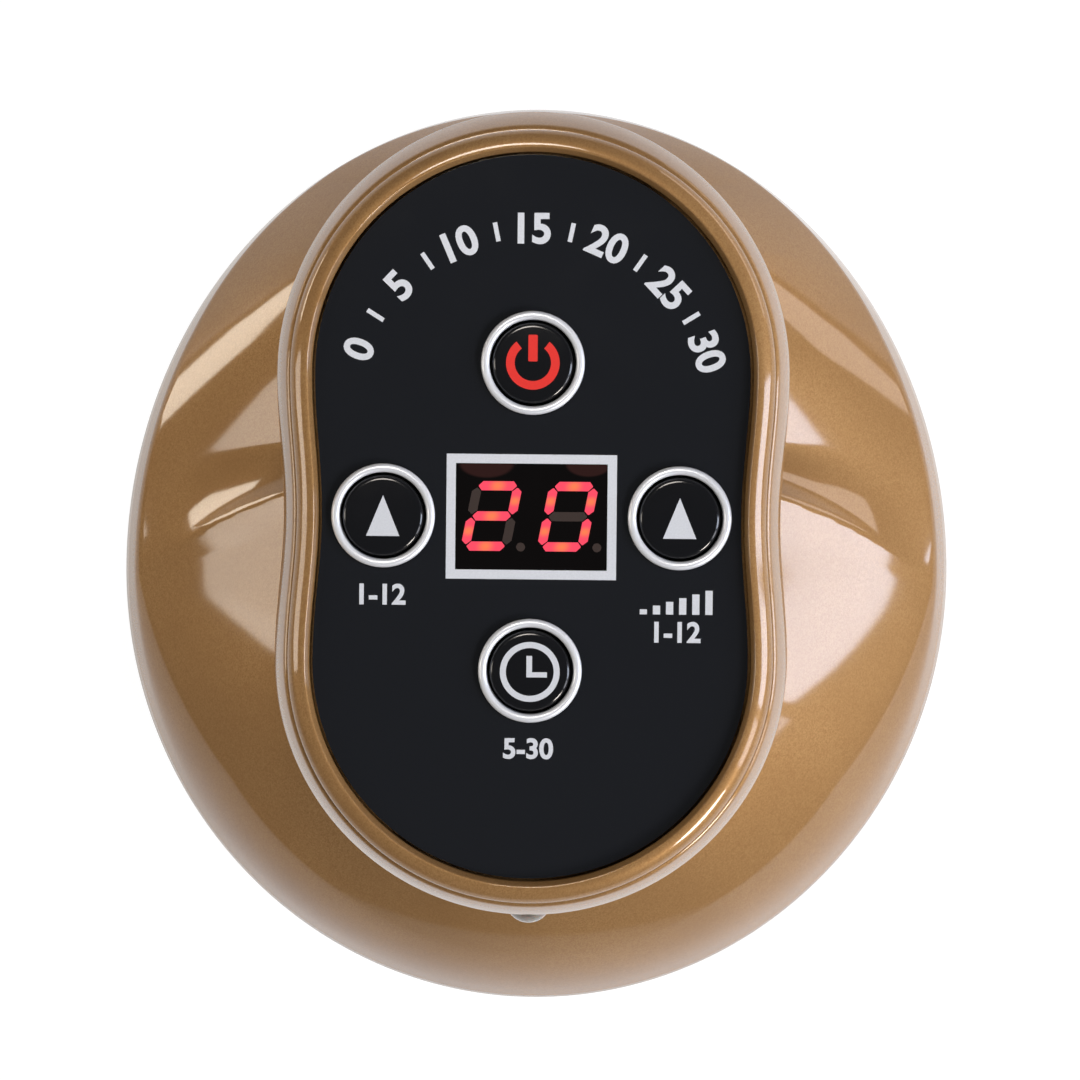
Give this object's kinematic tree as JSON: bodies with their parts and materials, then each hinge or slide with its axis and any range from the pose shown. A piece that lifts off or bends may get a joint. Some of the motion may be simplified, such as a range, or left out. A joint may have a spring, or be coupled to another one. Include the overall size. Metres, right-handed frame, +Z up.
{
  "type": "electric cupping massager",
  "caption": "Hand-held electric cupping massager: oval domed body over a detachable suction cup, with a narrow neck and a waisted head that carries ringed keys and an LED display.",
  "frame": {"origin": "on the plane of the cup's lip, under the middle of the oval body's footprint", "axes": "+Z up out of the control panel, -Y towards the user, +X towards the suction key, with the head set 4.4 mm back from the middle of the body"},
  "size_m": [0.0904, 0.0978, 0.0833],
  "materials": {
    "gold_paint": "pearl gold paint on moulded plastic",
    "black_acrylic": "polished black acrylic",
    "smoked_window": "clear smoked acrylic",
    "display_black": "matt black display case",
    "chrome_trim": "bright plating",
    "key_black": "satin black key",
    "clear_lamp": "frosted clear lamp body",
    "cup_black": "smooth black cup",
    "inner_plastic": "fine matt moulding",
    "seal_rubber": "matt black rubber",
    "board_green": "green solder mask on glass fibre laminate",
    "screw_steel": "plated steel",
    "heater_aluminium": "satin anodised",
    "red_lens": "clear red plastic",
    "silicone": "milky silicone",
    "battery_wrap": "blue shrink wrap",
    "wire_red": "red wire sleeve"
  },
  "bodies": {
    "housing": {"dome_shell": "gold_paint", "base_plate": "inner_plastic", "base_screw_1": "screw_steel", "base_screw_2": "screw_steel", "base_screw_3": "screw_steel", "base_screw_4": "screw_steel", "cup_seal": "seal_rubber", "cup_socket_ring": "inner_plastic", "lamp_board": "board_green", "lamp_lens": "red_lens", "heater_ring": "heater_aluminium", "suction_port": "inner_plastic", "port_filter": "silicone", "pump_pad": "seal_rubber", "pump_cap": "inner_plastic", "pump_diaphragm": "seal_rubber", "pump_yoke": "inner_plastic", "pump_body": "inner_plastic", "motor_can": "screw_steel", "motor_magnet": "inner_plastic", "motor_endbell": "inner_plastic", "valve_body": "inner_plastic", "valve_spring": "screw_steel", "valve_cap": "screw_steel", "suction_tube": "silicone", "vent_tube": "silicone", "battery_pack": "battery_wrap", "motor_lead": "wire_red", "battery_lead": "wire_red", "lamp_lead": "wire_red", "valve_lead": "wire_red", "head_tray": "gold_paint", "head_bezel": "gold_paint", "control_panel": "black_acrylic", "display_window": "smoked_window", "led_display": "display_black", "control_board": "board_green", "buzzer": "inner_plastic", "charging_socket": "screw_steel", "indicator_lamp": "clear_lamp", "power_ring": "chrome_trim", "heat_ring": "chrome_trim", "suction_ring": "chrome_trim", "time_ring": "chrome_trim", "power_switch": "inner_plastic", "heat_switch": "inner_plastic", "suction_switch": "inner_plastic", "time_switch": "inner_plastic"},
    "power_button": {"power_key": "key_black", "power_plunger": "key_black"},
    "heat_button": {"heat_key": "key_black", "heat_plunger": "key_black"},
    "suction_button": {"suction_key": "key_black", "suction_plunger": "key_black"},
    "time_button": {"time_key": "key_black", "time_plunger": "key_black"},
    "pump_rotor": {"motor_rotor": "screw_steel"},
    "release_plunger": {"valve_plunger": "screw_steel"},
    "cup_body": {"cup": "cup_black"}
  },
  "joints": [
    {"name": "power_press", "type": "slide", "parent": "housing", "child": "power_button", "axis": [0, 0, -1], "range_m": [0, 0.0006], "stiffness_N_per_m": 2500},
    {"name": "heat_press", "type": "slide", "parent": "housing", "child": "heat_button", "axis": [0, 0, -1], "range_m": [0, 0.0006], "stiffness_N_per_m": 2500},
    {"name": "suction_press", "type": "slide", "parent": "housing", "child": "suction_button", "axis": [0, 0, -1], "range_m": [0, 0.0006], "stiffness_N_per_m": 2500},
    {"name": "time_press", "type": "slide", "parent": "housing", "child": "time_button", "axis": [0, 0, -1], "range_m": [0, 0.0006], "stiffness_N_per_m": 2500},
    {"name": "rotor_spin", "type": "hinge", "parent": "housing", "child": "pump_rotor", "pos_m": [0, 0.0155, 0.042], "axis": [0, 0, 1], "continuous": true},
    {"name": "release_lift", "type": "slide", "parent": "housing", "child": "release_plunger", "axis": [0, 0, 1], "range_m": [0, 0.0015], "stiffness_N_per_m": 300, "deforming": ["valve_spring"]},
    {"name": "cup_pull", "type": "slide", "parent": "housing", "child": "cup_body", "axis": [0, 0, -1], "range_m": [0, 0.012]}
  ]
}
